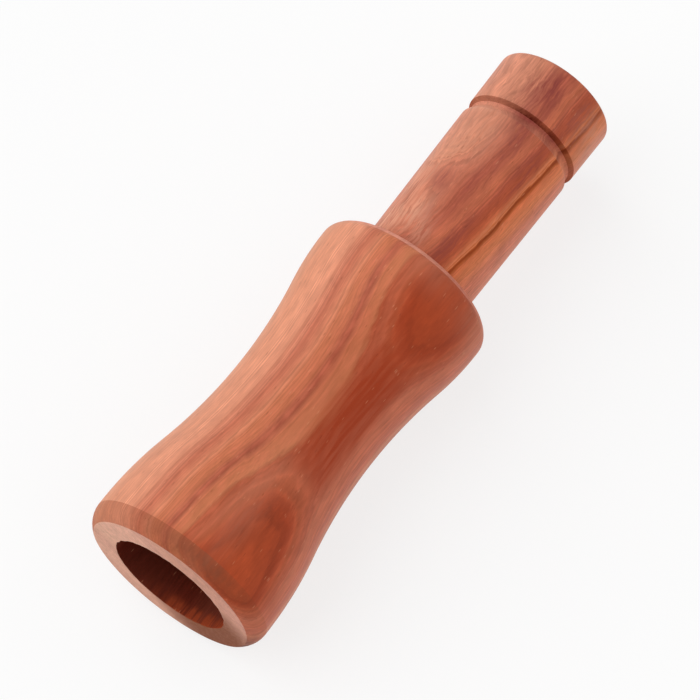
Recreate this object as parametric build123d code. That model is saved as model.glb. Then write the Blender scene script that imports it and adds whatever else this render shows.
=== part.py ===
from build123d import *
import math
import os

# A turned wooden reed call. The X axis is the axis of the turning: the mouth face
# is at X = 0 and the exhaust end is at +X. The reed lies on the +Z side.

# Barrel, outside
barrel_length = 72.4
belly_dia = 36.9
mouth_round_length = 3.6
mouth_round_drop = 1.8
belly_land = 1.2
belly_share = 0.42
waist_dia = 29.7
waist_from_mouth = 39.8
waist_share = 0.64
shoulder_dia = 35.5
shoulder_round = 2.7

# Barrel, inside
mouth_bore_dia = 23.2
mouth_bore_depth = 9.5
mouth_bore_step = 0.8
seat_bore_dia = 22.5
seat_lead = 0.4

# Insert
insert_showing = 47.6
tail_end_dia = 23.9
tail_end_round = 0.8
taper_clearance = 0.04
tenon_length = 18.0
tenon_lead = 0.6
exhaust_bore_dia = 12.0
exhaust_round = 0.8

# Lanyard groove: its far lip from the exhaust end, and the place of its lowest line
groove_from_end = 11.4
groove_width = 2.9
groove_depth = 1.1
groove_low_share = 0.6
groove_floor_round = 0.5

# Sealing rings and the grooves they sit in
ring_cord = 1.8
ring_clearance = 0.03
ring_groove_width = 2.4
inner_ring_from_tenon_end = 4.5
outer_ring_from_tenon_end = 12.5

# Tone board
plug_dia = 14.0
plug_length = 16.0
plug_lead = 0.6
plug_clearance = 0.02
collar_dia = 18.4
collar_thickness = 1.4
hub_dia = 16.4
hub_length = 8.5
board_dia = 14.0
board_length = 32.5
board_tip_round = 1.6
moulded_edge_round = 0.3
moulded_edge_share = 0.45
face_height = 0.8
face_fall_deg = 1.9

# Air channel in the tone board
channel_width = 5.6
channel_depth = 5.9
channel_from_tip = 6.0

# Pocket for the root of the reed and its wedge
pocket_height = 3.8
pocket_back_wall = 0.5

# Reed
reed_width = 12.4
reed_thickness = 0.25
reed_tip_setback = 0.6
reed_root_clearance = 0.3
reed_ear = 1.6

# Wedge
wedge_width = 11.6
wedge_proud = 1.0
wedge_back_clearance = 0.6
wedge_top_clearance = 0.03
wedge_angle_deg = 2.2
wedge_edge_round = 0.6

# Radii and stations that follow from the sizes above
belly_r = belly_dia / 2
waist_r = waist_dia / 2
shoulder_r = shoulder_dia / 2
mouth_r = mouth_bore_dia / 2
seat_r = seat_bore_dia / 2
tail_end_r = tail_end_dia / 2
exhaust_r = exhaust_bore_dia / 2
socket_r = plug_dia / 2 + plug_clearance
channel_r = channel_width / 2

exhaust_end = barrel_length + insert_showing
tenon_start = barrel_length - tenon_length
plug_end = tenon_start + plug_length
collar_front = tenon_start - collar_thickness
hub_front = collar_front - hub_length
board_tip = hub_front - board_length
pocket_back = collar_front - pocket_back_wall
roof_height = face_height + pocket_height
wedge_front = hub_front - wedge_proud
reed_tip = board_tip + reed_tip_setback
reed_root = pocket_back - reed_root_clearance
reed_top = face_height + reed_thickness
channel_axis_height = face_height - channel_depth + channel_r
channel_front = board_tip + channel_from_tip + channel_r
ring_floor_r = seat_r - ring_cord - 2 * ring_clearance
ring_places = {
    "inner_o_ring": tenon_start + inner_ring_from_tenon_end,
    "outer_o_ring": tenon_start + outer_ring_from_tenon_end,
}


def tail_radius(x):
    """Outside radius of the insert, one taper from the tenon to the exhaust end."""
    root_r = seat_r - taper_clearance
    return root_r + (tail_end_r - root_r) * (x - barrel_length) / insert_showing


def s_bend(start, end, share):
    """Two tangent arcs, level at both ends, that turn over at a share of the way."""
    run = end[0] - start[0]
    rise = end[1] - start[1]
    turn = (start[0] + share * run, start[1] + share * rise)
    arcs_sum = math.copysign((run**2 + rise**2) / (2 * abs(rise)), rise)
    RadiusArc(start, turn, -share * arcs_sum)
    RadiusArc(turn, end, (1 - share) * arcs_sum)


def make_barrel():
    """Waisted barrel with a wide mouth bore and a plain seat bore for the insert."""
    mouth_round_r = (mouth_round_length**2 + mouth_round_drop**2) / (2 * mouth_round_drop)
    face_edge = (0, belly_r - mouth_round_drop)
    belly_start = (mouth_round_length, belly_r)
    belly_end = (mouth_round_length + belly_land, belly_r)
    waist = (waist_from_mouth, waist_r)
    crest = (barrel_length - shoulder_round, shoulder_r)
    shoulder_edge = (barrel_length, shoulder_r - shoulder_round)
    with BuildPart() as barrel:
        with BuildSketch():
            with BuildLine():
                Line((0, mouth_r), face_edge)
                RadiusArc(face_edge, belly_start, mouth_round_r)
                Line(belly_start, belly_end)
                s_bend(belly_end, waist, belly_share)
                s_bend(waist, crest, waist_share)
                RadiusArc(crest, shoulder_edge, shoulder_round)
                Polyline(
                    shoulder_edge,
                    (barrel_length, seat_r + seat_lead),
                    (barrel_length - seat_lead, seat_r),
                    (mouth_bore_depth + mouth_bore_step, seat_r),
                    (mouth_bore_depth, mouth_r),
                    (0, mouth_r),
                )
            make_face()
        revolve(axis=Axis.X)
    return barrel.part


def make_insert():
    """Tapered insert: tenon with ring grooves, lanyard groove and exhaust bore."""
    far_lip = exhaust_end - groove_from_end
    near_lip = far_lip - groove_width
    lowest = near_lip + groove_low_share * groove_width
    with BuildPart() as insert:
        with BuildSketch() as profile:
            with BuildLine():
                Polyline(
                    (exhaust_end, exhaust_r),
                    (plug_end, exhaust_r),
                    (plug_end, socket_r),
                    (tenon_start, socket_r),
                    (tenon_start, tail_radius(tenon_start) - tenon_lead),
                    (tenon_start + tenon_lead, tail_radius(tenon_start + tenon_lead)),
                    (exhaust_end, tail_end_r),
                    close=True,
                )
            make_face()
            fillet(profile.vertices().group_by(Axis.X)[-1].sort_by(Axis.Y)[0], exhaust_round)
            fillet(profile.vertices().group_by(Axis.X)[-1].sort_by(Axis.Y)[-1], tail_end_round)
        revolve(axis=Axis.X)
        with BuildSketch() as groove:
            with BuildLine():
                Polyline(
                    (near_lip, tail_radius(near_lip)),
                    (near_lip, tail_radius(near_lip) + groove_depth),
                    (far_lip, tail_radius(far_lip) + groove_depth),
                    (far_lip, tail_radius(far_lip)),
                    (lowest, tail_radius(lowest) - groove_depth),
                    close=True,
                )
            make_face()
            fillet(groove.vertices().sort_by(Axis.Y)[0], groove_floor_round)
        revolve(axis=Axis.X, mode=Mode.SUBTRACT)
        for place in ring_places.values():
            with BuildSketch():
                with Locations((place, ring_floor_r)):
                    Rectangle(ring_groove_width, ring_cord * 2, align=(Align.CENTER, Align.MIN))
            revolve(axis=Axis.X, mode=Mode.SUBTRACT)
    return insert.part


def make_o_ring(place):
    """Round sealing ring between a tenon groove and the seat bore."""
    with BuildPart() as ring:
        with BuildSketch():
            with Locations((place, seat_r - ring_clearance - ring_cord / 2)):
                Circle(ring_cord / 2)
        revolve(axis=Axis.X)
    return ring.part


def make_tone_board():
    """Plug, collar and hub in one piece with the half-round board that carries the reed."""
    tip_fall = (wedge_front - board_tip) * math.tan(math.radians(face_fall_deg))
    hub_and_collar = [
        (hub_front, hub_dia / 2),
        (collar_front, hub_dia / 2),
        (collar_front, collar_dia / 2),
        (tenon_start, collar_dia / 2),
    ]
    # Two rounded corners share the wall between hub and collar.
    lowest_step = min(abs(collar_dia - hub_dia), abs(hub_dia - board_dia)) / 2
    edge_round = min(moulded_edge_round, moulded_edge_share * lowest_step)
    with BuildPart() as board:
        with BuildSketch() as profile:
            with BuildLine():
                Polyline(
                    (board_tip, 0),
                    (board_tip, board_dia / 2),
                    (hub_front, board_dia / 2),
                    *hub_and_collar,
                    (tenon_start, plug_dia / 2),
                    (plug_end - plug_lead, plug_dia / 2),
                    (plug_end, plug_dia / 2 - plug_lead),
                    (plug_end, 0),
                    close=True,
                )
            make_face()
            corners = profile.vertices()
            fillet([corners.sort_by_distance(place)[0] for place in hub_and_collar], edge_round)
        revolve(axis=Axis.X)
        fillet(board.edges().group_by(Axis.X)[0], board_tip_round)
        # The reed's face falls away from the wedge to the tip; behind it is the pocket.
        with BuildSketch(Plane.XZ):
            with BuildLine():
                Polyline(
                    (board_tip, face_height - tip_fall),
                    (wedge_front, face_height),
                    (pocket_back, face_height),
                    (pocket_back, roof_height),
                    (hub_front, roof_height),
                    (hub_front, collar_dia),
                    (board_tip, collar_dia),
                    close=True,
                )
            make_face()
        extrude(amount=collar_dia, both=True, mode=Mode.SUBTRACT)
        # The air channel: round-floored and open to the reed, then a round airway.
        with BuildSketch(Plane.XY.offset(channel_axis_height)):
            with Locations((channel_front, 0)):
                Circle(channel_r)
                Rectangle(pocket_back - channel_front, channel_width, align=(Align.MIN, Align.CENTER))
        extrude(amount=face_height - channel_axis_height, mode=Mode.SUBTRACT)
        with Locations((channel_front, 0, channel_axis_height)):
            Sphere(channel_r, mode=Mode.SUBTRACT)
            Cylinder(
                channel_r,
                plug_end - channel_front,
                rotation=(0, 90, 0),
                align=(Align.CENTER, Align.CENTER, Align.MIN),
                mode=Mode.SUBTRACT,
            )
    return board.part


def make_reed():
    """Flat film strip with its tip corners cut off."""
    with BuildPart() as reed:
        with BuildSketch(Plane.XY.offset(face_height)) as outline:
            with BuildLine():
                Polyline(
                    (reed_tip, -reed_width / 2),
                    (reed_root, -reed_width / 2),
                    (reed_root, reed_width / 2),
                    (reed_tip, reed_width / 2),
                    close=True,
                )
            make_face()
            chamfer(outline.vertices().group_by(Axis.X)[0], reed_ear)
        extrude(amount=reed_thickness)
    return reed.part


def make_reed_wedge():
    """Block that bites on the reed along its front lower edge and thins to the back."""
    wedge_back = pocket_back - wedge_back_clearance
    rise = (wedge_back - wedge_front) * math.tan(math.radians(wedge_angle_deg))
    top = roof_height - wedge_top_clearance
    with BuildPart() as wedge:
        with BuildSketch(Plane.XZ):
            with BuildLine():
                Polyline(
                    (wedge_front, reed_top),
                    (wedge_back, reed_top + rise),
                    (wedge_back, top),
                    (wedge_front, top),
                    close=True,
                )
            make_face()
        extrude(amount=wedge_width / 2, both=True)
        fillet(wedge.edges().filter_by(Axis.Z), wedge_edge_round)
    return wedge.part


parts = {
    "barrel": make_barrel(),
    "insert": make_insert(),
    "tone_board": make_tone_board(),
    "reed": make_reed(),
    "reed_wedge": make_reed_wedge(),
}
for ring_name, ring_place in ring_places.items():
    parts[ring_name] = make_o_ring(ring_place)

os.makedirs("parts", exist_ok=True)
for part_name, shape in parts.items():
    export_step(shape, f"parts/{part_name}.step")
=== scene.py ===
"""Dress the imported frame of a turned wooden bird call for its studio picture.

Lengths are in millimetres in the frame of the part: X runs along the turning axis from the mouth face to
the exhaust end, Z points up, and the call lies on its side. Blender's own unit is the metre.
"""

import logging
import math
from dataclasses import dataclass, field
from enum import Enum
from typing import Any, Sequence

import bpy
from bpy.types import Material, Mesh, Node, NodeSocket, NodeTree, Object
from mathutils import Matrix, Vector, noise


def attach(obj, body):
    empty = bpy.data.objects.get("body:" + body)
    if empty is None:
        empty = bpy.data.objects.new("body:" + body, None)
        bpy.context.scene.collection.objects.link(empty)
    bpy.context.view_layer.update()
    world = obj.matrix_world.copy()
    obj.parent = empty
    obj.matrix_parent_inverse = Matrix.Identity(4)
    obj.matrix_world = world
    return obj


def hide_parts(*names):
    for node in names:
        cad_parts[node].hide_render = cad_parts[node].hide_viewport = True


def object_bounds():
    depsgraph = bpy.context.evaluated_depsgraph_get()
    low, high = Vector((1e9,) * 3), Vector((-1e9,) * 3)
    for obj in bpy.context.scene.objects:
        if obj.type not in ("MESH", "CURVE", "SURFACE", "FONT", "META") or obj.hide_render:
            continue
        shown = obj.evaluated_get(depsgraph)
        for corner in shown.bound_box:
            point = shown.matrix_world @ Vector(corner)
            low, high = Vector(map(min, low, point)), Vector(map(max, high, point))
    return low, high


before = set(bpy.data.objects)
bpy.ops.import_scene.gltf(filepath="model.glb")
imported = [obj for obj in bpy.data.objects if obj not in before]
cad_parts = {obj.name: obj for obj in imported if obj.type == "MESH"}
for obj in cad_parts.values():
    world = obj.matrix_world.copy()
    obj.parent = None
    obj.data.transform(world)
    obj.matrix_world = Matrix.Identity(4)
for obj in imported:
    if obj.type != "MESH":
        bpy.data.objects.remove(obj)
CAD_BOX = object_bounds()

LOG = logging.getLogger("bird_call")
MM = 0.001
# The exporter keeps a piece's own map if it has this name.
MAP_NAME = "OFBake"
# What the wood is like at each point of a turned mesh, for its material to read.
LAYER_NAME = "growth_layer"
FAR_SIDE_NAME = "far_side"
# The stain marks also carry painted shade on the mouth face and a painted strip of light in the mouth bore.
STAIN_AND_PAINTED_LIGHT_NAME = "stain_and_painted_light"
PALE_NAME = "pale"
RUB_NAME = "rubbed"
# Width of the strip along the crest of the layers where one side of the wood turns into the other.
CREST_WIDTH = 5.0
# Steps round a sanded corner, and the fewest along an arc.
EASE_STEPS = 4
ARC_STEPS = 4
# Tears in the edge of a bore, per radian.
FRAY_COUNT = 9.0
# Ranges of a noise over which stains turn streaky, and over which the veins of the near side break up.
STREAK_RANGE = (0.4, 0.62)
GAP_RANGE = (0.4, 0.7)
# Share of a vein that such a gap takes away at most.
GAP_SHARE = 0.5
# How much the roughness differs among the fibres of wood, and how strongly their relief shows.
ROUGHNESS_SPREAD = 0.1
FIBRE_RELIEF = 0.6
# How many times each noise of the wood halves its size.
DETAIL = {"wander": 2.0, "streak": 4.0, "fibre": 3.0, "mottle": 3.0, "ring": 2.0}
# Share of a pore's reach that is fully dark.
PORE_CORE = 1 / 3
WHITE = "#ffffff"
Point = tuple[float, float]
Place = tuple[float, float, float]
Colour = tuple[float, float, float, float]
Tones = tuple[tuple[float, str], ...]


def linear(colour: str) -> Colour:
    """Turn an sRGB hex colour into linear light.

    Args:
        colour: The colour as #rrggbb.

    Returns:
        Red, green, blue and an alpha of one.
    """
    channels = [int(colour[i : i + 2], 16) / 255 for i in (1, 3, 5)]
    light = [c / 12.92 if c <= 0.04045 else ((c + 0.055) / 1.055) ** 2.4 for c in channels]
    return (light[0], light[1], light[2], 1.0)


def add_node(
    tree: NodeTree,
    kind: str,
    inputs: dict[str | int, Any] | None = None,
    out: str | int = 0,
    stops: Sequence[tuple[float, Colour]] = (),
    **settings: Any,
) -> NodeSocket | Node:
    """Add one shader node with its settings and links.

    Args:
        tree: The material's or world's node tree.
        kind: Node type without the ShaderNode prefix.
        inputs: Value or linked socket for each input, by name or index.
        out: Name or index of the output that is wanted.
        stops: Places and linear colours, for a colour ramp.
        settings: The node's own properties.

    Returns:
        The wanted output socket, or the node if it has no outputs.
    """
    node = tree.nodes.new("ShaderNode" + kind)
    for name, value in settings.items():
        setattr(node, name, value)
    for key, value in (inputs or {}).items():
        if isinstance(value, NodeSocket):
            tree.links.new(value, node.inputs[key])
        else:
            node.inputs[key].default_value = value
    if stops:
        elements = node.color_ramp.elements
        elements.remove(elements[1])
        elements[0].position = stops[0][0]
        elements[0].color = stops[0][1]
        for place, colour in stops[1:]:
            elements.new(place).color = colour
    return node.outputs[out] if node.outputs else node


def new_material(name: str) -> Material:
    """Make a material with no nodes yet.

    Args:
        name: Its name.

    Returns:
        The material.
    """
    material = bpy.data.materials.new(name)
    material.use_nodes = True
    material.node_tree.nodes.clear()
    return material


def looking_ray(tree: NodeTree) -> NodeSocket:
    """Tell a ray that looks at the studio, straight or by gloss or glass, from one that only lights.

    Args:
        tree: The material's or world's node tree.

    Returns:
        A number that is one for a ray that looks and zero for the rest.
    """
    rays = add_node(tree, "LightPath").node.outputs
    seen = add_node(tree, "Math", {0: rays["Is Camera Ray"], 1: rays["Is Glossy Ray"]}, operation="ADD")
    return add_node(tree, "Math", {0: seen, 1: rays["Is Transmission Ray"]}, operation="ADD")


def vary(tree: NodeTree, colour: NodeSocket, pattern: NodeSocket, contrast: float) -> NodeSocket:
    """Make a colour lighter and darker with a pattern.

    Args:
        tree: The material's node tree.
        colour: The colour.
        pattern: Noise about a half.
        contrast: Change in lightness at either end of the noise.

    Returns:
        The varied colour.
    """
    shade = {"Value": pattern, "To Min": 1 - contrast, "To Max": 1 + contrast}
    lightness = add_node(tree, "MapRange", shade, clamp=False)
    return add_node(tree, "VectorMath", {0: colour, "Scale": lightness}, operation="SCALE")


class Zone(Enum):
    """A surface of a turned piece that was left in a way of its own."""

    SIDE = 0
    EDGE = 1
    FACE = 2
    BORE = 3
    # The rim carries a painted highlight along the shoulder's edge.
    RIM = 4
    GROOVE = 5
    GROOVE_WALL = 6
    TENON = 7


@dataclass(frozen=True)
class Station:
    """One point of a turned outline.

    Attributes:
        x: Place along the axis.
        r: Radius.
        zone: The surface that ends here.
        ease: Length over which a corner here is sanded round.
        fray: How far torn fibres stand in from the edge here.
    """

    x: float
    r: float
    zone: Zone
    ease: float = 0.0
    fray: float = 0.0


@dataclass
class Contour:
    """Closed outline of a turned wall, in the order that a tool would follow it.

    Attributes:
        step: Longest distance between two points.
        stations: The points so far.
    """

    step: float = 0.7
    stations: list[Station] = field(default_factory=list)

    def line_to(self, x: float, r: float, zone: Zone, ease: float = 0.0, fray: float = 0.0) -> None:
        """Run straight to a point.

        Args:
            x: Place along the axis.
            r: Radius there.
            zone: Surface of this run.
            ease: Length over which the corner at its end is sanded round.
            fray: Depth of torn fibres at its end.
        """
        if self.stations:
            last = self.stations[-1]
            count = math.ceil(math.hypot(x - last.x, r - last.r) / self.step)
            for i in range(1, count):
                part = i / count
                place = (last.x + part * (x - last.x), last.r + part * (r - last.r))
                self.stations.append(Station(*place, zone))
        self.stations.append(Station(x, r, zone, ease, fray))

    def arc_to(self, x: float, r: float, radius: float, zone: Zone) -> None:
        """Run along a circular arc to a point.

        Args:
            x: Place along the axis.
            r: Radius of the piece there.
            radius: Radius of the arc, above zero if it swells to the left of its run.
            zone: Surface of this run.
        """
        last = self.stations[-1]
        chord = math.hypot(x - last.x, r - last.r)
        along = ((x - last.x) / chord, (r - last.r) / chord)
        depth = -math.copysign(math.sqrt(max(radius**2 - chord**2 / 4, 0)), radius)
        centre = ((x + last.x) / 2 - along[1] * depth, (r + last.r) / 2 + along[0] * depth)
        first = math.atan2(last.r - centre[1], last.x - centre[0])
        sweep = math.remainder(math.atan2(r - centre[1], x - centre[0]) - first, math.tau)
        count = max(ARC_STEPS, math.ceil(abs(radius * sweep) / self.step))
        for i in range(1, count):
            angle = first + sweep * i / count
            place = (centre[0] + abs(radius) * math.cos(angle), centre[1] + abs(radius) * math.sin(angle))
            self.stations.append(Station(*place, zone))
        self.stations.append(Station(x, r, zone))

    def s_bend_to(self, x: float, r: float, share: float, zone: Zone) -> None:
        """Run along two tangent arcs that are level at both ends.

        Args:
            x: Place along the axis.
            r: Radius there.
            share: Share of the way at which the bend turns over.
            zone: Surface of this run.
        """
        last = self.stations[-1]
        run = x - last.x
        rise = r - last.r
        radii = (run**2 + rise**2) / (2 * rise)
        self.arc_to(last.x + share * run, last.r + share * rise, -share * radii, zone)
        self.arc_to(x, r, (1 - share) * radii, zone)

    def eased(self) -> list[Station]:
        """Round the corners that are to be eased.

        Returns:
            The stations, with each such corner as a short curve.
        """
        made: list[Station] = []
        for i, corner in enumerate(self.stations):
            if not corner.ease:
                made.append(corner)
                continue
            following = self.stations[(i + 1) % len(self.stations)]
            ends = []
            for other in (self.stations[i - 1], following):
                run = (other.x - corner.x, other.r - corner.r)
                part = corner.ease / math.hypot(*run)
                ends.append((corner.x + part * run[0], corner.r + part * run[1]))
            for k in range(EASE_STEPS + 1):
                t = k / EASE_STEPS
                weights = ((1 - t) ** 2, 2 * t * (1 - t), t * t)
                x = weights[0] * ends[0][0] + weights[1] * corner.x + weights[2] * ends[1][0]
                r = weights[0] * ends[0][1] + weights[1] * corner.r + weights[2] * ends[1][1]
                zone = corner.zone if k <= EASE_STEPS // 2 else following.zone
                made.append(Station(x, r, zone, fray=corner.fray))
        return made


@dataclass(frozen=True)
class Patch:
    """A soft-edged place on a turned surface.

    Attributes:
        x: Place along the axis.
        turn_deg: Place round the axis, from straight up towards -Y.
        length: Reach along the axis.
        width: Reach round the axis.
        amount: What it adds in its middle.
        edge: How crisp its edge is, from a soft 2 up.
    """

    x: float
    turn_deg: float
    length: float
    width: float
    amount: float
    edge: int = 2

    def share(self, point: Place) -> float:
        """Tell what the patch adds at a point.

        Args:
            point: Where it is.

        Returns:
            The amount, which fades away from the middle.
        """
        x, y, z = point
        angle = math.remainder(math.atan2(-y, z) - math.radians(self.turn_deg), math.tau)
        along = abs(x - self.x) / self.length
        around = abs(angle) * math.hypot(y, z) / self.width
        return self.amount * math.exp(-(along**self.edge) - around**self.edge)


@dataclass(frozen=True)
class Blank:
    """The squared stick that a piece was turned from, with its growth layers.

    Attributes:
        normal_deg: Direction across the layers, from straight up towards -Y.
        middle: Place along the axis that the layers are measured from.
        half_length: Length from there to either end of the piece.
        tilt: Rise of the layers over a half length.
        bow: Fall of the layers from the middle to either end.
        arch: Fall of the layers per square millimetre away from the middle line.
        twist: Turn of the layers over a half length, as a slope.
        swells: Places where the layers rise or dip, in millimetres, as they do beside a small knot.
        stains_and_painted_light: Places that take the stain colour, as shares of it: darker with resin, and
            at the mouth painted shade on the face and a painted strip of light in the bore.
        pales: Places that are paler, as shares of the pale colour.
        rubs: Places where a finish's own tone is rubbed off, as shares of it.
    """

    normal_deg: float
    middle: float
    half_length: float
    tilt: float
    bow: float
    arch: float = 0.0
    twist: float = 0.0
    swells: tuple[Patch, ...] = ()
    stains_and_painted_light: tuple[Patch, ...] = ()
    pales: tuple[Patch, ...] = ()
    rubs: tuple[Patch, ...] = ()

    def across(self, y: float, z: float) -> Point:
        """Give a point's distances from the axis across the layers and along them."""
        turn = math.radians(self.normal_deg)
        return (z * math.cos(turn) - y * math.sin(turn), -y * math.cos(turn) - z * math.sin(turn))

    def layer(self, point: Place) -> float:
        """Tell how far out a point lies across the growth layers.

        Args:
            point: Where it is.

        Returns:
            The distance in millimetres from the layer through the axis.
        """
        x, y, z = point
        height, aside = self.across(y, z)
        along = (x - self.middle) / self.half_length
        bent = self.tilt * along - self.bow * along**2 - self.arch * aside**2
        swollen = sum(patch.share(point) for patch in self.swells)
        return height + bent + self.twist * along * aside + swollen

    def far_side(self, y: float, z: float) -> float:
        """Tell from 0 to 1 whether a point is past the crest of the layers, with a soft change there."""
        return min(max(self.across(y, z)[1] / CREST_WIDTH + 0.5, 0.0), 1.0)

    def traits(self, point: Place) -> dict[str, float]:
        """Tell what the wood is like at a point.

        Args:
            point: Where it is.

        Returns:
            Its layer, its side of the crest, and from 0 to 1 how much it takes the stain colour (stain, and
            painted shade and light at the mouth), how pale and how rubbed it is.
        """
        found = {LAYER_NAME: self.layer(point), FAR_SIDE_NAME: self.far_side(*point[1:])}
        for name, patches in ((STAIN_AND_PAINTED_LIGHT_NAME, self.stains_and_painted_light), (PALE_NAME, self.pales), (RUB_NAME, self.rubs)):
            found[name] = min(max(sum(patch.share(point) for patch in patches), 0.0), 1.0)
        return found


@dataclass(frozen=True)
class Lamp:
    """A broad soft lamp a long way off.

    Attributes:
        name: What it does.
        azimuth_deg: Direction that it shines from, from +X towards +Y.
        elevation_deg: Its height.
        level: Light that it gives to a white face square to it, where one is white.
        spread_deg: How broad it looks.
    """

    name: str
    azimuth_deg: float
    elevation_deg: float
    level: float
    spread_deg: float

    def build(self) -> None:
        """Hang the lamp."""
        lamp = bpy.data.lights.new(self.name, "SUN")
        lamp.energy = self.level * math.pi
        lamp.angle = math.radians(self.spread_deg)
        holder = bpy.data.objects.new(self.name, lamp)
        turn, lift = math.radians(self.azimuth_deg), math.radians(self.elevation_deg)
        towards = Vector((math.cos(turn) * math.cos(lift), math.sin(turn) * math.cos(lift), math.sin(lift)))
        holder.rotation_euler = towards.to_track_quat("Z", "Y").to_euler()
        bpy.context.scene.collection.objects.link(holder)


@dataclass
class Studio:
    """White table, soft lamps and the camera of the photograph.

    Attributes:
        aim: Point that the middle of the picture looks at.
        distance: From there to the lens.
        azimuth_deg: Camera's turn, where zero looks along +Y.
        elevation_deg: Its height.
        focal_length: Lens on a sensor of sensor_width.
        sensor_width: Width of the sensor.
        floor_half: Half the side of the table top.
        room_level: Light that the pale room gives from all around, where one is white.
        paper: Colour of the table's paper.
        paper_lift: Share by which the paper is lifted to white where it is only looked at.
        lamps: The lamps.
    """

    aim: Place = (54.989, 0.713, 0.201)
    distance: float = 575.5
    azimuth_deg: float = -54.48
    elevation_deg: float = 64.53
    focal_length: float = 164.6
    sensor_width: float = 36.0
    floor_half: float = 3000.0
    room_level: float = 0.40
    paper: str = "#f8f8f8"
    paper_lift: float = 0.76
    lamps: tuple[Lamp, ...] = (
        Lamp("window_side_lamp", 115.0, 46.0, 0.66, 80.0),
        Lamp("far_side_fill", -70.0, 30.0, 0.20, 90.0),
    )

    def build(self) -> None:
        """Set up the table, the light and the camera."""
        self.build_floor()
        self.build_world()
        for lamp in self.lamps:
            lamp.build()
        self.build_camera()

    def build_floor(self) -> None:
        """Lay the white table top under the lowest point of the call."""
        low = CAD_BOX[0][2]
        half = self.floor_half * MM
        corners = [(-half, -half, low), (half, -half, low), (half, half, low), (-half, half, low)]
        mesh = bpy.data.meshes.new("table_top")
        mesh.from_pydata(corners, [], [(0, 1, 2, 3)])
        floor = bpy.data.objects.new("table_top", mesh)
        bpy.context.scene.collection.objects.link(floor)
        mesh.materials.append(self.table_paper())

    def table_paper(self) -> Material:
        """Make white background paper: dead matt, lifted to white where it is only looked at.

        Returns:
            The material.
        """
        material = new_material("white_background_paper")
        tree = material.node_tree
        lift = add_node(tree, "Math", {0: looking_ray(tree), 1: self.paper_lift}, operation="MULTIPLY")
        paper = add_node(tree, "BsdfDiffuse", {"Color": linear(self.paper)})
        glow = add_node(tree, "Emission", {"Color": linear(WHITE), "Strength": 1.0})
        both = add_node(tree, "MixShader", {"Fac": lift, 1: paper, 2: glow})
        add_node(tree, "OutputMaterial", {"Surface": both})
        return material

    def build_world(self) -> None:
        """Make the pale room, which is white where it is only looked at."""
        world = bpy.data.worlds.new("pale_room")
        bpy.context.scene.world = world
        world.use_nodes = True
        tree = world.node_tree
        tree.nodes.clear()
        levels = {"Value": looking_ray(tree), "To Min": self.room_level, "To Max": 1.0}
        level = add_node(tree, "MapRange", levels)
        glow = add_node(tree, "Background", {"Color": linear(WHITE), "Strength": level})
        add_node(tree, "OutputWorld", {"Surface": glow})

    def build_camera(self) -> None:
        """Place the camera where the photograph was taken from."""
        turn, lift = math.radians(self.azimuth_deg), math.radians(self.elevation_deg)
        back = Vector((math.sin(turn) * math.cos(lift), -math.cos(turn) * math.cos(lift), math.sin(lift)))
        lens = bpy.data.cameras.new("camera")
        lens.sensor_width = self.sensor_width
        lens.lens = self.focal_length
        camera = bpy.data.objects.new("camera", lens)
        camera.location = (Vector(self.aim) + back * self.distance) * MM
        camera.rotation_euler = back.to_track_quat("Z", "Y").to_euler()
        bpy.context.scene.collection.objects.link(camera)
        bpy.context.scene.camera = camera
        bpy.context.scene.view_settings.view_transform = "Standard"


@dataclass(frozen=True)
class Finish:
    """How one zone of the wood was left.

    Attributes:
        name: Name of the finish.
        tone: Colour that the tool, dust or oil laid over the wood; on the shoulder's rim it is a painted
            highlight, and in the bore it is partly painted shade.
        cover: How much of it there is.
        roughness: Roughness of the surface.
        fibre_height: How far the fibres stand up.
        gloss: Level of the mirror reflection.
        stain_and_painted_light: Colour of its stained places, where that isn't the wood's own; the same
            marks are painted shade on the mouth face and a painted strip of light in the mouth bore.
        streak: How much of the stain colour lies in streaks, where that isn't the wood's own.
        rubs_off: Whether the tone is gone where the wood is rubbed.
        pale: Colour of its pale places, where that isn't the wood's own.
    """

    name: str
    tone: str = WHITE
    cover: float = 0.0
    roughness: float = 0.42
    fibre_height: float = 0.02
    gloss: float = 0.1
    stain_and_painted_light: str = ""
    streak: float = 0.0
    rubs_off: bool = False
    pale: str = ""


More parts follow.
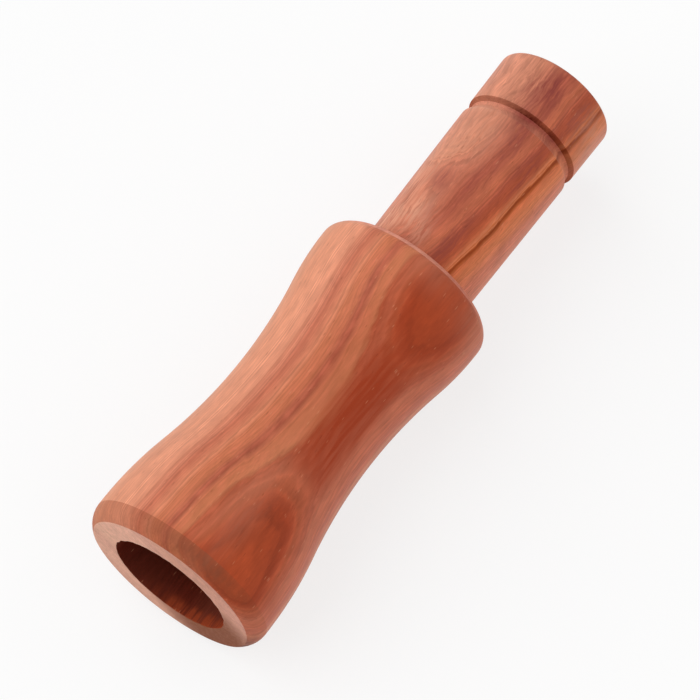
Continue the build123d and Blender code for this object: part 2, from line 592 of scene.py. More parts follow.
@dataclass(frozen=True)
class Wood:
    """Reddish rosewood: layered from pale orange to dark red, with streaks, stains, pores and pale flecks.

    Attributes:
        name: Which piece of wood it is.
        layers: Places across the growth layers in millimetres, and the colour there.
        near_layers: More of these, on the near side of the crest only.
        far_layers: More of these, on its far side only.
        stain_colour: Colour of the resin in stained places.
        pale_colour: Colour of the pale places.
        mark_streak: How much of both lies in streaks.
        sway: How far the fibres sway sideways.
        sway_size: Length of one sway.
        wander: How far the layers stray, slowly along the grain.
        wander_size: Length and width of one such stray.
        streak: How far fibres carry colour over from the next layer.
        streak_size: Length and width of one streak.
        ring_size: Thickness of a growth ring.
        ring_contrast: Difference in lightness among rings.
        fibre_size: Length and width of the fibres, drawn about three times too coarse so that they show.
        fibre_contrast: Difference in lightness among fibres.
        mottle_size: Length and width of the cloudy patches where the grain leans.
        mottle_contrast: Difference in lightness among them.
        pore_size: Length and width of the cell that may hold one pore.
        pore_share: Share of its cell that a pore takes up.
        pore_colour: Colour of an open pore.
        fleck_colour: Colour of a pore filled with dust.
        mark_chance: Share of the cells with a pore, and of those with a fleck.
        mark_strength: How strongly both show.
    """

    name: str
    layers: Tones
    near_layers: Tones = ()
    far_layers: Tones = ()
    stain_colour: str = "#7a3a2c"
    pale_colour: str = "#e2a588"
    mark_streak: float = 0.3
    sway: float = 0.6
    sway_size: float = 16.0
    wander: float = 0.4
    wander_size: Point = (34.0, 7.0)
    streak: float = 0.3
    streak_size: Point = (16.0, 0.9)
    ring_size: float = 0.3
    ring_contrast: float = 0.4
    fibre_size: Point = (7.0, 0.35)
    fibre_contrast: float = 0.18
    mottle_size: Point = (4.0, 1.5)
    mottle_contrast: float = 0.2
    pore_size: Point = (2.6, 0.5)
    pore_share: float = 0.24
    pore_colour: str = "#6a2b17"
    fleck_colour: str = "#dd9670"
    mark_chance: float = 0.1
    mark_strength: float = 0.35

    def dress(self, finish: Finish) -> Material:
        """Make the wood with one finish.

        The oil wets the fibres, so the side looks deep and only softly glossy, while sanded end grain
        looks pale and dry; in the bore, painted shade darkens the wood and a painted strip of light lies
        near the mouth.

        Args:
            finish: How the surface was left.

        Returns:
            The material.
        """
        material = new_material(f"{self.name}_{finish.name}")
        tree = material.node_tree
        noises, pores = self.lay_grain(tree)
        colour = self.layer_colour(tree, noises, finish)
        colour = vary(tree, colour, noises["fibre"], self.fibre_contrast)
        colour = vary(tree, colour, noises["mottle"], self.mottle_contrast)
        streak = finish.streak or self.mark_streak
        streaky = {"Value": noises["streak"], "From Min": STREAK_RANGE[0], "From Max": STREAK_RANGE[1]}
        uneven = add_node(tree, "MapRange", streaky | {"To Min": 1 - streak, "To Max": 1 + streak})
        # Stain marks, which include painted shade on the mouth face and a painted strip of light in the
        # mouth bore, then pale places.
        tints = {STAIN_AND_PAINTED_LIGHT_NAME: finish.stain_and_painted_light or self.stain_colour, PALE_NAME: finish.pale or self.pale_colour}
        for name, tint in tints.items():
            mark = add_node(tree, "Attribute", out="Fac", attribute_name=name)
            share = add_node(tree, "Math", {0: mark, 1: uneven}, operation="MULTIPLY", use_clamp=True)
            tinted = {"Factor": share, "A": colour, "B": linear(tint)}
            colour = add_node(tree, "Mix", tinted, out="Result", data_type="RGBA")
        colour, pore = self.mark_pores(tree, pores, colour)

        height = add_node(tree, "Math", {0: noises["fibre"], 1: pore}, operation="SUBTRACT")
        relief = {"Height": height, "Strength": FIBRE_RELIEF, "Distance": finish.fibre_height * MM}
        normal = add_node(tree, "Bump", relief)
        smooth, rough = finish.roughness - ROUGHNESS_SPREAD, finish.roughness + ROUGHNESS_SPREAD
        roughness = add_node(tree, "MapRange", {"Value": noises["fibre"], "To Min": smooth, "To Max": rough})
        surface = {"Base Color": colour, "Roughness": roughness, "Normal": normal}
        shader = add_node(tree, "BsdfPrincipled", surface | {"Specular IOR Level": finish.gloss})
        add_node(tree, "OutputMaterial", {"Surface": shader})
        return material

    def lay_grain(self, tree: NodeTree) -> tuple[dict[str, NodeSocket], NodeSocket]:
        """Lay the patterns of the grain along fibres that sway.

        Args:
            tree: The material's node tree.

        Returns:
            The noises by name, and where a point lies in cells that may hold one pore.
        """
        place = add_node(tree, "TexCoord", out="Object")
        bend = add_node(tree, "TexNoise", {"Vector": place, "Scale": 1 / (self.sway_size * MM)}, out="Color")
        reach = {0: bend, 1: (2 * self.sway * MM,) * 3, 2: (-self.sway * MM,) * 3}
        bend = add_node(tree, "VectorMath", reach, operation="MULTIPLY_ADD")
        place = add_node(tree, "VectorMath", {0: place, 1: bend}, operation="ADD")
        sizes = {"wander": self.wander_size, "streak": self.streak_size, "fibre": self.fibre_size}
        sizes |= {"mottle": self.mottle_size, "pore": self.pore_size}
        cells = {}
        for name, (length, width) in sizes.items():
            scale = (1 / (length * MM), 1 / (width * MM), 1 / (width * MM))
            cells[name] = add_node(tree, "VectorMath", {0: place, 1: scale}, operation="MULTIPLY")
        pores = cells.pop("pore")
        noises = {}
        for name, vector in cells.items():
            grain = {"Vector": vector, "Scale": 1.0, "Detail": DETAIL[name]}
            noises[name] = add_node(tree, "TexNoise", grain)
        return noises, pores

    def layer_colour(self, tree: NodeTree, noises: dict[str, NodeSocket], finish: Finish) -> NodeSocket:
        """Colour the growth layers, which stray and streak a little, and lay the finish's tone over them.

        Args:
            tree: The material's node tree.
            noises: The noises of the grain, by name.
            finish: How the surface was left.

        Returns:
            The colour.
        """
        layer = add_node(tree, "Attribute", out="Fac", attribute_name=LAYER_NAME)
        for name, reach in (("wander", self.wander), ("streak", self.streak)):
            shift = {"Value": noises[name], "To Min": -reach, "To Max": reach}
            stray = add_node(tree, "MapRange", shift, clamp=False)
            layer = add_node(tree, "Math", {0: layer, 1: stray}, operation="ADD")
        low, high = self.layers[0][0], self.layers[-1][0]
        part = add_node(tree, "MapRange", {"Value": layer, "From Min": low, "From Max": high})
        sides = []
        for side in (self.near_layers, self.far_layers):
            layers = sorted(self.layers + side)
            stops = [((at - low) / (high - low), linear(colour)) for at, colour in layers]
            sides.append(add_node(tree, "ValToRGB", {"Fac": part}, stops=stops))
        far = add_node(tree, "Attribute", out="Fac", attribute_name=FAR_SIDE_NAME)
        broken = {"Value": noises["mottle"], "From Min": GAP_RANGE[0], "From Max": GAP_RANGE[1]}
        gap = add_node(tree, "MapRange", broken | {"To Max": GAP_SHARE})
        veinless = add_node(tree, "Math", {0: far, 1: gap}, operation="MAXIMUM")
        both = {"Factor": veinless, "A": sides[0], "B": sides[1]}
        colour = add_node(tree, "Mix", both, out="Result", data_type="RGBA")
        cover: float | NodeSocket = finish.cover
        if finish.rubs_off:
            rubbed = add_node(tree, "Attribute", out="Fac", attribute_name=RUB_NAME)
            cover = add_node(tree, "MapRange", {"Value": rubbed, "To Min": finish.cover, "To Max": 0.0})
        coat = {"Factor": cover, "A": colour, "B": linear(finish.tone)}
        colour = add_node(tree, "Mix", coat, out="Result", data_type="RGBA")
        count = add_node(tree, "Math", {0: layer, 1: self.ring_size}, operation="DIVIDE")
        rings = {"W": count, "Scale": 1.0, "Detail": DETAIL["ring"]}
        ring = add_node(tree, "TexNoise", rings, noise_dimensions="1D")
        return vary(tree, colour, ring, self.ring_contrast)

    def mark_pores(
        self, tree: NodeTree, place: NodeSocket, colour: NodeSocket
    ) -> tuple[NodeSocket, NodeSocket]:
        """Scatter open pores and pale flecks of dust over the wood.

        Args:
            tree: The material's node tree.
            place: Where a point lies, in cells that may hold one mark.
            colour: Colour of the bare wood.

        Returns:
            The colour with the marks, and how open a pore is.
        """
        middle = add_node(tree, "TexVoronoi", {"Vector": place, "Scale": 1.0}, out="Distance")
        kind = add_node(tree, "SeparateColor", {0: middle.node.outputs["Color"]}, out="Red")
        edge = {"Value": middle, "From Min": self.pore_share, "From Max": self.pore_share * PORE_CORE}
        inside = add_node(tree, "MapRange", edge | {"To Max": self.mark_strength})
        marks = []
        for operation, limit, tint in (
            ("LESS_THAN", self.mark_chance, self.fleck_colour),
            ("GREATER_THAN", 1 - self.mark_chance, self.pore_colour),
        ):
            chosen = add_node(tree, "Math", {0: kind, 1: limit}, operation=operation)
            marks.append(add_node(tree, "Math", {0: inside, 1: chosen}, operation="MULTIPLY"))
            inked = {"Factor": marks[-1], "A": colour, "B": linear(tint)}
            colour = add_node(tree, "Mix", inked, out="Result", data_type="RGBA")
        return colour, marks[-1]


BARREL_BLANK = Blank(
    normal_deg=40.5,
    middle=36.0,
    half_length=36.0,
    tilt=0.9,
    bow=1.3,
    arch=-0.0028,
    twist=0.036,
    swells=(Patch(-2.0, 40.0, 8.0, 30.0, 1.6),),
    stains_and_painted_light=(
        Patch(40.0, 43.0, 14.5, 4.9, 0.85, edge=6),
        Patch(22.5, 42.5, 3.5, 3.5, -0.5),
        Patch(65.0, 41.5, 12.0, 9.0, 0.35, edge=4),
        # Painted shade low on the -Y side of the mouth face and edge, and a painted strip of light on that
        # side of the mouth bore.
        Patch(0.0, 134.0, 2.2, 12.5, 1.0, edge=4),
        Patch(1.9, 22.0, 1.8, 11.0, 0.6),
        Patch(48.0, 14.0, 14.0, 6.0, 0.16),
        Patch(5.0, 75.5, 4.0, 6.0, 0.25),
    ),
    pales=(
        Patch(14.0, 22.5, 11.0, 3.0, 0.15),
        Patch(70.5, 22.0, 4.0, 5.0, 0.15),
        Patch(70.5, 66.0, 5.0, 5.0, 0.2),
    ),
    rubs=(Patch(0.0, 72.0, 30.0, 14.0, 1.0, edge=4),),
)
INSERT_BLANK = Blank(
    normal_deg=-39.5,
    middle=96.0,
    half_length=24.0,
    tilt=2.1,
    bow=0.74,
    swells=(
        Patch(81.0, -28.0, 6.0, 6.0, 0.7),
        Patch(90.0, -24.0, 4.0, 5.0, -0.9),
        Patch(99.0, -30.0, 7.0, 6.0, 0.5),
        Patch(113.0, -8.0, 3.5, 2.4, 0.8),
        Patch(117.0, 17.5, 6.0, 7.0, -0.9),
    ),
    stains_and_painted_light=(
        Patch(79.0, 21.5, 7.0, 1.9, 0.5),
        Patch(100.0, 13.5, 6.0, 1.2, 0.55),
        Patch(91.0, 5.0, 4.0, 1.0, 0.4),
        Patch(88.5, -24.0, 2.8, 2.4, 0.55),
        Patch(81.0, -12.0, 3.0, 1.2, 0.35),
        Patch(99.0, 37.0, 8.0, 1.8, 0.4),
        Patch(113.5, -6.0, 3.0, 1.6, 0.35),
        Patch(115.0, 10.0, 5.0, 2.6, 0.65),
        Patch(105.0, 0.0, 9.0, 4.0, 0.25),
        Patch(114.5, 50.0, 6.0, 3.4, 0.4),
        Patch(106.6, 4.0, 1.6, 1.5, 0.4),
        Patch(107.8, 24.5, 0.7, 9.0, 0.55),
    ),
    pales=(
        Patch(81.0, -23.0, 3.5, 2.2, 0.35),
        Patch(99.0, -22.0, 6.0, 5.0, 0.2),
        Patch(77.0, -50.0, 4.0, 4.0, 0.5),
        Patch(88.0, -52.0, 9.0, 4.0, 0.35),
        Patch(77.0, -5.0, 4.0, 2.5, 0.25),
        Patch(115.0, 84.0, 5.0, 6.0, 0.3),
        Patch(106.3, -42.0, 1.2, 5.0, 0.35),
    ),
)
BARREL_WOOD = Wood(
    "barrel_rosewood",
    layers=(
        (-19.0, "#b5623f"), (-14.0, "#cb8260"), (-10.0, "#bb6c4a"), (-6.0, "#cf8a66"),
        (0.0, "#d38b6b"), (4.0, "#db9273"), (6.2, "#d58b6d"), (7.0, "#c67a5e"),
        (7.4, "#cc7e62"), (8.5, "#bc6a50"), (9.3, "#c77558"), (10.2, "#d0805f"),
        (16.15, "#ad4b2c"), (16.5, "#a03f20"), (17.0, "#ab4725"), (17.6, "#b04a27"),
        (19.0, "#b24c29"),
    ),
    near_layers=(
        (11.0, "#c77451"), (12.1, "#c4704e"), (12.5, "#b26047"), (12.9, "#a95640"),
        (13.2, "#b9674b"), (13.5, "#c77350"), (14.5, "#cb7953"), (14.75, "#ae5337"),
        (14.95, "#b65d40"), (15.4, "#bd6446"), (15.8, "#ba5c3b"),
    ),
    far_layers=(
        (11.0, "#c36d51"), (12.0, "#c26b51"), (13.5, "#c46c4f"), (14.5, "#c46e51"),
        (14.9, "#b75f44"), (15.8, "#b65939"),
    ),
    stain_colour="#a33c1c",
    mark_streak=0.2,
    ring_contrast=0.26,
    mottle_contrast=0.25,
    mark_chance=0.15,
)
INSERT_WOOD = Wood(
    "insert_rosewood",
    layers=(
        (-12.0, "#d48062"), (-5.5, "#cf7a5f"), (-3.0, "#d67c52"), (-1.3, "#d5744a"),
        (-0.95, "#c7683f"), (-0.6, "#ad5124"), (-0.25, "#943c12"), (0.0, "#ae501f"),
        (0.2, "#da7f57"), (0.4, "#c2612f"), (0.6, "#dd835b"), (0.9, "#d0744a"),
        (1.3, "#c46440"), (2.0, "#b45535"), (3.4, "#ac5238"), (4.1, "#b35a40"),
        (5.2, "#c66c4c"), (5.8, "#c26a4c"), (7.2, "#ae5a44"), (7.8, "#af5b44"),
        (8.8, "#bb6a50"), (10.0, "#bf7259"), (11.2, "#c67d61"), (13.5, "#cb866c"),
    ),
    stain_colour="#8a4038",
    mark_streak=0.6,
    sway=0.9,
    sway_size=5.0,
    wander=0.9,
    wander_size=(18.0, 5.0),
    streak=0.4,
    streak_size=(9.0, 0.6),
    ring_contrast=0.32,
    fibre_size=(6.0, 0.3),
    fibre_contrast=0.22,
    mottle_size=(5.0, 1.5),
    mottle_contrast=0.34,
    mark_chance=0.14,
)
FINISHES = {
    # Turned, sanded and oiled: the full depth of the figure under a low sheen.
    Zone.SIDE: Finish("oiled_side"),
    # Sanded through after the oil: drier, browner and duller than the side.
    Zone.EDGE: Finish("sanded_mouth_edge", "#954c30", 0.5, 0.55, stain_and_painted_light="#78402a", rubs_off=True),
    # End grain sanded across: pale with dust; its stain colour is painted shade low on the -Y side of the
    # face.
    Zone.FACE: Finish("sanded_end_grain", "#ebc8b7", 0.42, 0.65, 0.04, stain_and_painted_light="#834a30", streak=0.05),
    # Drilled and left, rough, with torn fibres at the mouth's edge: its dark red tone is partly painted
    # shade deep in the bore, and its lighter stain colour is a painted strip of light near the mouth.
    Zone.BORE: Finish("drilled_bore_painted_shade_and_light", "#560f0d", 0.9, 0.6, 0.25, 0.0, "#964026", 0.75, pale="#7a3524"),
    # Painted highlight along the shoulder's rounded edge: a thin pale pink line, with no gloss of its own.
    Zone.RIM: Finish("painted_rim_highlight", "#e8a08c", 0.75, 0.5, 0.02, 0.0),
    # Cut with a sharp tool: clean, pinkish and dry.
    Zone.GROOVE: Finish("cut_groove_flank", "#c98570", 0.4, 0.55, 0.02, 0.03, streak=0.1),
    # The groove's far wall: a dark brown line with no gloss.
    Zone.GROOVE_WALL: Finish("dark_groove_wall", "#6a2412", 0.5, 0.55, 0.02, 0.0, "#521a10", 0.2),
    # Turned to size and not oiled: paler than the side.
    Zone.TENON: Finish("turned_tenon", "#c98a66", 0.3, 0.5),
}


def turn_piece(name: str, contour: Contour, blank: Blank, wood: Wood, segments: int) -> Object:
    """Turn an outline round the X axis into a closed mesh, and give each zone its finish.

    Args:
        name: Name of the piece.
        contour: Its outline.
        blank: The stick that it is cut from, for the traits of the wood at each point.
        wood: What it is made of.
        segments: Number of faces round the axis.

    Returns:
        The new object.
    """
    stations = contour.eased()
    points = []
    grain: dict[str, list[float]] = {}
    for station in stations:
        for j in range(segments):
            angle = math.tau * j / segments
            ring = Vector((math.cos(angle), math.sin(angle), 0.0))
            r = station.r + station.fray * noise.noise(ring * FRAY_COUNT)
            point = (station.x, r * math.sin(angle), r * math.cos(angle))
            points.append([c * MM for c in point])
            for attribute, value in blank.traits(point).items():
                grain.setdefault(attribute, []).append(value)
    zones = [zone for zone in Zone if zone in {station.zone for station in stations}]
    faces = []
    slots = []
    for i in range(len(stations)):
        ahead = (i + 1) % len(stations)
        for j in range(segments):
            beside = (j + 1) % segments
            corners = ((i, j), (ahead, j), (ahead, beside), (i, beside))
            faces.append([row * segments + column for row, column in corners])
            slots.append(zones.index(stations[ahead].zone))
    mesh = bpy.data.meshes.new(name)
    mesh.from_pydata(points, [], faces)
    for zone in zones:
        mesh.materials.append(wood.dress(FINISHES[zone]))
    mesh.polygons.foreach_set("material_index", slots)
    mesh.shade_smooth()
    for attribute, values in grain.items():
        mesh.attributes.new(attribute, "FLOAT", "POINT").data.foreach_set("value", values)
    lay_out_map(mesh, stations, segments)
    piece = bpy.data.objects.new(name, mesh)
    bpy.context.scene.collection.objects.link(piece)
    return piece


def lay_out_map(mesh: Mesh, stations: Sequence[Station], segments: int) -> None:
    """Unroll a turned mesh flat, so that a baked picture has room for every face.

    Args:
        mesh: The turned mesh, with its faces in station order.
        stations: Points of its outline.
        segments: Number of faces round the axis.
    """
    reach = [0.0]
    for i, station in enumerate(stations):
        ahead = stations[(i + 1) % len(stations)]
        reach.append(reach[-1] + math.hypot(ahead.x - station.x, ahead.r - station.r))
    places = []
    for i in range(len(stations)):
        for j in range(segments):
            for row, column in ((i, j), (i + 1, j), (i + 1, j + 1), (i, j + 1)):
                places += [column / segments, reach[row] / reach[-1]]
    mesh.uv_layers.new(name=MAP_NAME).data.foreach_set("uv", places)


@dataclass(frozen=True)
class FineSurface:
    """A material with one fine pattern all over, which colours, dulls and raises it.

    Attributes:
        name: What it is and how it was made.
        tones: Places in the pattern and the colours there, or one colour for all of it.
        size: Size of the pattern along X, Y and Z.
        detail: How many times the pattern halves its size.
        depth: Height of the relief.
        relief: How strongly that shows.
        roughness: Roughness where the pattern is low and where it is high.
        ior: Refractive index.
        clearness: Share of the light that goes through.
    """

    name: str
    tones: Tones
    size: Place
    detail: float
    depth: float
    relief: float
    roughness: Point
    ior: float = 1.5
    clearness: float = 0.0

    def dress(self) -> Material:
        """Make the material.

        Returns:
            The material.
        """
        material = new_material(self.name)
        tree = material.node_tree
        place = add_node(tree, "TexCoord", out="Object")
        scale = [1 / (length * MM) for length in self.size]
        cells = add_node(tree, "VectorMath", {0: place, 1: scale}, operation="MULTIPLY")
        pattern = add_node(tree, "TexNoise", {"Vector": cells, "Scale": 1.0, "Detail": self.detail})
        stops = [(at, linear(colour)) for at, colour in self.tones]
        surface: dict[str, Any] = {"Base Color": stops[0][1], "Roughness": self.roughness[0]}
        if len(stops) > 1:
            surface["Base Color"] = add_node(tree, "ValToRGB", {"Fac": pattern}, stops=stops)
        smooth, rough = self.roughness
        if rough > smooth:
            dulled = {"Value": pattern, "To Min": smooth, "To Max": rough}
            surface["Roughness"] = add_node(tree, "MapRange", dulled)
        surface["Base Color"], height = self.add_detail(tree, place, surface["Base Color"], pattern)
        bumps = {"Height": height, "Strength": self.relief, "Distance": self.depth * MM}
        surface["Normal"] = add_node(tree, "Bump", bumps)
        surface |= {"IOR": self.ior, "Transmission Weight": self.clearness}
        shader = add_node(tree, "BsdfPrincipled", surface)
        add_node(tree, "OutputMaterial", {"Surface": shader})
        return material

    def add_detail(
        self, tree: NodeTree, place: NodeSocket, colour: NodeSocket | Colour, pattern: NodeSocket
    ) -> tuple[NodeSocket | Colour, NodeSocket]:
        """Add what only this material has, which is nothing here.

        Args:
            tree: The material's node tree.
            place: Where a point lies.
            colour: Its colour.
            pattern: The pattern there.

        Returns:
            The colour, and the height of the relief.
        """
        return colour, pattern


@dataclass(frozen=True)
class MouldedAbs(FineSurface):
    """Black ABS from a lightly spark-eroded mould: a soft even sheen, with a grey bloom where it is rubbed.

    Attributes:
        texture_size: Size of the mould's texture, drawn four times too coarse so that it shows.
        texture_detail: How many times that texture halves its size.
    """

    name: str = "tone_board_moulded_abs"
    tones: Tones = ((0.42, "#141416"), (0.72, "#26262a"))
    size: Place = (25 / 3, 25 / 3, 25 / 3)
    detail: float = 4.0
    depth: float = 0.015
    relief: float = 0.5
    roughness: Point = (0.28, 0.5)
    ior: float = 1.53
    texture_size: float = 0.35
    texture_detail: float = 3.0

    def add_detail(
        self, tree: NodeTree, place: NodeSocket, colour: NodeSocket, pattern: NodeSocket
    ) -> tuple[NodeSocket, NodeSocket]:
        """Take the relief from the mould's texture."""
        texture = {"Vector": place, "Scale": 1 / (self.texture_size * MM), "Detail": self.texture_detail}
        return colour, add_node(tree, "TexNoise", texture)


@dataclass(frozen=True)
class PolyesterFilm(FineSurface):
    """Clear polyester film, die-cut: glassy, faintly milky, with drawing lines along it."""

    name: str = "reed_polyester_film"
    tones: Tones = ((0.0, "#e6eae4"),)
    size: Place = (30.0, 0.5, 0.5)
    detail: float = 3.0
    depth: float = 0.01
    relief: float = 0.3
    roughness: Point = (0.12, 0.32)
    ior: float = 1.57
    clearness: float = 0.6


@dataclass(frozen=True)
class NaturalCork(FineSurface):
    """Natural cork, cut with a knife: dry and matt, tan cells with dark brown lenticels.

    Attributes:
        lenticel: Colour of the pores.
        lenticel_size: Size along X, Y and Z of a cell that holds one pore.
        lenticel_edge: Share of that cell where its pore begins and where it is fully dark.
    """

    name: str = "wedge_natural_cork"
    tones: Tones = ((0.35, "#a06f40"), (0.5, "#c1935f"), (0.68, "#d4ab7a"))
    size: Place = (0.9, 0.9, 0.9)
    detail: float = 4.0
    depth: float = 0.08
    relief: float = 0.8
    roughness: Point = (0.85, 0.85)
    lenticel: str = "#4e2f18"
    lenticel_size: Place = (1.3, 3.2, 1.3)
    lenticel_edge: Point = (0.24, 0.14)

    def add_detail(
        self, tree: NodeTree, place: NodeSocket, colour: NodeSocket, pattern: NodeSocket
    ) -> tuple[NodeSocket, NodeSocket]:
        """Sink the lenticels into the cells.

        Args:
            tree: The material's node tree.
            place: Where a point lies.
            colour: Its colour.
            pattern: The pattern there.

        Returns:
            The colour, and the height of the relief.
        """
        scale = [1 / (length * MM) for length in self.lenticel_size]
        spread = add_node(tree, "VectorMath", {0: place, 1: scale}, operation="MULTIPLY")
        middle = add_node(tree, "TexVoronoi", {"Vector": spread, "Scale": 1.0}, out="Distance")
        outer, inner = self.lenticel_edge
        pore = add_node(tree, "MapRange", {"Value": middle, "From Min": outer, "From Max": inner})
        dark = {"Factor": pore, "A": colour, "B": linear(self.lenticel)}
        colour = add_node(tree, "Mix", dark, out="Result", data_type="RGBA")
        return colour, add_node(tree, "Math", {0: pattern, 1: pore}, operation="SUBTRACT")


@dataclass(frozen=True)
class NitrileRubber(FineSurface):
    """Black nitrile rubber, moulded: dull black with a faint waxy bloom."""

    name: str = "seal_nitrile_rubber"
    tones: Tones = ((0.4, "#161617"), (0.75, "#2e2d2c"))
    size: Place = (2.5, 2.5, 2.5)
    detail: float = 5.0
    depth: float = 0.02
    relief: float = 0.3
    roughness: Point = (0.45, 0.7)


@dataclass(frozen=True)
class FittedPiece:
    """A piece whose solid already has its shape, and only needs its finish.

    Attributes:
        node: Name of the solid.
        finish: What it is made of.
    """

    node: str
    finish: FineSurface

    def build(self) -> Object:
        """Give the solid its finish.

        Returns:
            The solid's object.
        """
        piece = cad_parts[self.node]
        piece.material_slots[0].material = self.finish.dress()
        return piece


@dataclass
class Barrel:
    """The waisted wooden barrel.

    The fields follow its outline from the mouth face to the shoulder and back through the bore. One with _r
    is a radius, one with _share says where along a rise or fall its curve turns over, and one with _ease is
    the length over which a corner is sanded round.

    Attributes:
        fray: Depth of the torn fibres at the edge of the mouth bore.
        rim_highlight_deg: Turn along the shoulder's edge where the painted rim highlight begins.
        finish_start: From the mouth face to where the oiled side begins.
        segments: Number of faces round the axis.
    """

    length: float = 72.4
    belly_r: float = 18.45
    mouth_round_length: float = 3.6
    mouth_round_drop: float = 1.8
    belly_land: float = 1.2
    belly_share: float = 0.42
    waist_r: float = 14.85
    waist_from_mouth: float = 39.8
    waist_share: float = 0.64
    shoulder_r: float = 17.75
    shoulder_round: float = 2.7
    mouth_r: float = 11.6
    mouth_depth: float = 9.5
    mouth_step: float = 0.8
    seat_r: float = 11.25
    seat_lead: float = 0.4
    edge_ease: float = 0.2
    seat_ease: float = 0.1
    fray: float = 0.18
    rim_highlight_deg: float = 60.0
    finish_start: float = 3.4
    segments: int = 192

    def contour(self) -> Contour:
        """Follow the outline of the barrel's wall.

        Returns:
            The closed outline.
        """
        round_r = (self.mouth_round_length**2 + self.mouth_round_drop**2) / (2 * self.mouth_round_drop)
        face_edge_r = self.belly_r - self.mouth_round_drop
        belly_end = self.mouth_round_length + self.belly_land
        outline = Contour()
        outline.line_to(0.0, self.mouth_r, Zone.BORE, self.edge_ease, self.fray)
        outline.line_to(0.0, face_edge_r, Zone.FACE, self.edge_ease)
        short = self.mouth_round_length - self.finish_start
        finish_r = self.belly_r - round_r + math.sqrt(round_r**2 - short**2)
        outline.arc_to(self.finish_start, finish_r, round_r, Zone.EDGE)
        outline.arc_to(self.mouth_round_length, self.belly_r, round_r, Zone.SIDE)
        outline.line_to(belly_end, self.belly_r, Zone.SIDE)
        outline.s_bend_to(self.waist_from_mouth, self.waist_r, self.belly_share, Zone.SIDE)
        outline.s_bend_to(self.length - self.shoulder_round, self.shoulder_r, self.waist_share, Zone.SIDE)
        # The last part of the shoulder's rounding carries the painted rim highlight.
        highlight_turn = math.radians(self.rim_highlight_deg)
        highlight_x = self.length - self.shoulder_round * (1 - math.cos(highlight_turn))
        highlight_r = self.shoulder_r - self.shoulder_round * (1 - math.sin(highlight_turn))
        outline.arc_to(highlight_x, highlight_r, self.shoulder_round, Zone.SIDE)
        outline.arc_to(self.length, self.shoulder_r - self.shoulder_round, self.shoulder_round, Zone.RIM)
        outline.line_to(self.length, self.seat_r + self.seat_lead, Zone.FACE, self.seat_ease)
        outline.line_to(self.length - self.seat_lead, self.seat_r, Zone.BORE, self.seat_ease)
        outline.line_to(self.mouth_depth + self.mouth_step, self.seat_r, Zone.BORE)
        outline.line_to(self.mouth_depth, self.mouth_r, Zone.BORE)
        outline.line_to(outline.step, self.mouth_r, Zone.BORE)
        return outline

    def build(self) -> Object:
        """Turn the barrel and dress it.

        Returns:
            The barrel.
        """
        piece = turn_piece("barrel_body", self.contour(), BARREL_BLANK, BARREL_WOOD, self.segments)
        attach(piece, "barrel")
        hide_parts("barrel")
        return piece


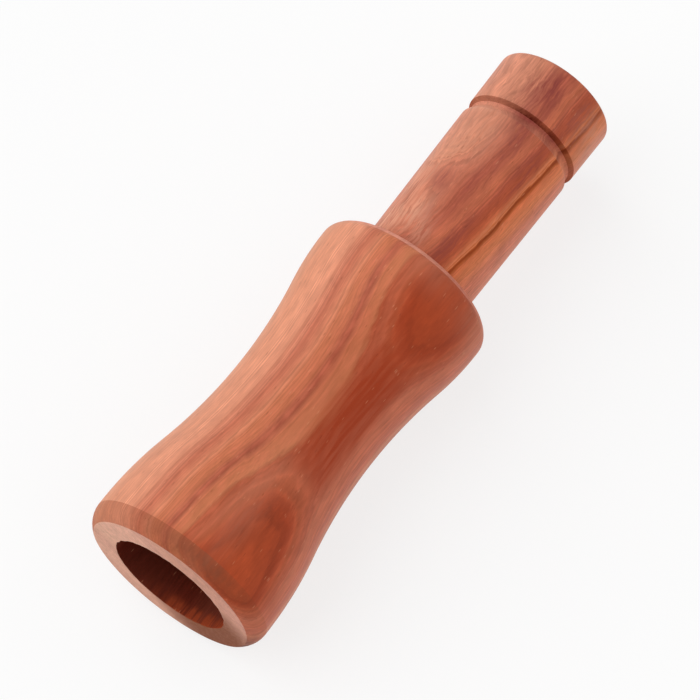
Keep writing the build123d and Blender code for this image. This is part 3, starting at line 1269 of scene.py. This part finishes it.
@dataclass
class Insert:
    """The tapered wooden insert with its lanyard groove.

    Its start, end, shoulder, socket_end and ring_places are places along the axis, and the other fields are
    named as the barrel's are.

    Attributes:
        root_r: Radius that the taper has at the barrel's shoulder.
        end_r: Radius that it has at the exhaust end.
        end_slack: How much larger the arc of that end's edge is, because it meets a taper.
        groove_low_share: Share of the groove's width where it is deepest.
        dark_start: Share of its far wall, from the bottom, before the dark wall begins.
        segments: Number of faces round the axis.
    """

    start: float = 54.4
    end: float = 120.0
    shoulder: float = 72.4
    root_r: float = 11.21
    end_r: float = 11.95
    end_round: float = 0.8
    end_slack: float = 1.02
    tenon_lead: float = 0.6
    bore_r: float = 6.0
    bore_round: float = 0.8
    socket_r: float = 7.02
    socket_end: float = 70.4
    groove_from_end: float = 11.4
    groove_width: float = 2.9
    groove_depth: float = 1.1
    groove_low_share: float = 0.6
    dark_start: float = 0.35
    lip_ease: float = 0.25
    floor_ease: float = 0.35
    wall_ease: float = 0.12
    corner_ease: float = 0.1
    ring_floor_r: float = 9.39
    ring_groove_width: float = 2.4
    ring_places: tuple[float, float] = (58.9, 66.9)
    segments: int = 192

    def radius(self, x: float) -> float:
        """Give the outside radius of the one long taper at a place."""
        return self.root_r + (self.end_r - self.root_r) * (x - self.shoulder) / (self.end - self.shoulder)

    def contour(self) -> Contour:
        """Follow the outline of the insert's wall.

        Returns:
            The closed outline.
        """
        outline = Contour()
        ease = self.corner_ease
        outline.line_to(self.start, self.socket_r, Zone.BORE, ease)
        outline.line_to(self.start, self.radius(self.start) - self.tenon_lead, Zone.FACE, ease)
        lead_end = self.start + self.tenon_lead
        outline.line_to(lead_end, self.radius(lead_end), Zone.TENON, ease)
        for place in self.ring_places:
            near, far = place - self.ring_groove_width / 2, place + self.ring_groove_width / 2
            outline.line_to(near, self.radius(near), Zone.TENON, ease)
            outline.line_to(near, self.ring_floor_r, Zone.TENON, ease)
            outline.line_to(far, self.ring_floor_r, Zone.TENON, ease)
            outline.line_to(far, self.radius(far), Zone.TENON, ease)
        outline.line_to(self.shoulder, self.radius(self.shoulder), Zone.TENON)
        far_lip = self.end - self.groove_from_end
        near_lip = far_lip - self.groove_width
        lowest = near_lip + self.groove_low_share * self.groove_width
        outline.line_to(near_lip, self.radius(near_lip), Zone.SIDE, self.lip_ease)
        outline.line_to(lowest, self.radius(lowest) - self.groove_depth, Zone.GROOVE, self.floor_ease)
        dark_x = lowest + self.dark_start * (far_lip - lowest)
        dark_r = self.radius(dark_x) - self.groove_depth * (1 - self.dark_start)
        outline.line_to(dark_x, dark_r, Zone.GROOVE)
        outline.line_to(far_lip, self.radius(far_lip), Zone.GROOVE_WALL, self.wall_ease)
        round_start = self.end - self.end_round
        outline.line_to(round_start, self.radius(round_start), Zone.SIDE)
        edge_r = self.end_r - self.end_round
        outline.arc_to(self.end, edge_r, self.end_round * self.end_slack, Zone.SIDE)
        outline.line_to(self.end, self.bore_r + self.bore_round, Zone.FACE)
        outline.arc_to(self.end - self.bore_round, self.bore_r, self.bore_round, Zone.FACE)
        outline.line_to(self.socket_end, self.bore_r, Zone.BORE)
        outline.line_to(self.socket_end, self.socket_r, Zone.BORE)
        outline.line_to(self.start + outline.step, self.socket_r, Zone.BORE)
        return outline

    def build(self) -> Object:
        """Turn the insert and dress it.

        Returns:
            The insert.
        """
        piece = turn_piece("insert_body", self.contour(), INSERT_BLANK, INSERT_WOOD, self.segments)
        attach(piece, "insert")
        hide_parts("insert")
        return piece


def main() -> None:
    """Build the studio and every piece, and note the size of the result."""
    logging.basicConfig(level=logging.INFO, format="%(name)s: %(message)s")
    Studio().build()
    parts = (
        Barrel(),
        Insert(),
        FittedPiece("tone_board", MouldedAbs()),
        FittedPiece("reed", PolyesterFilm()),
        FittedPiece("reed_wedge", NaturalCork()),
        FittedPiece("inner_o_ring", NitrileRubber()),
        FittedPiece("outer_o_ring", NitrileRubber()),
    )
    for part in parts:
        piece = part.build()
        LOG.info("%s: %d faces", piece.name, len(piece.data.polygons))


if __name__ == "__main__":
    main()
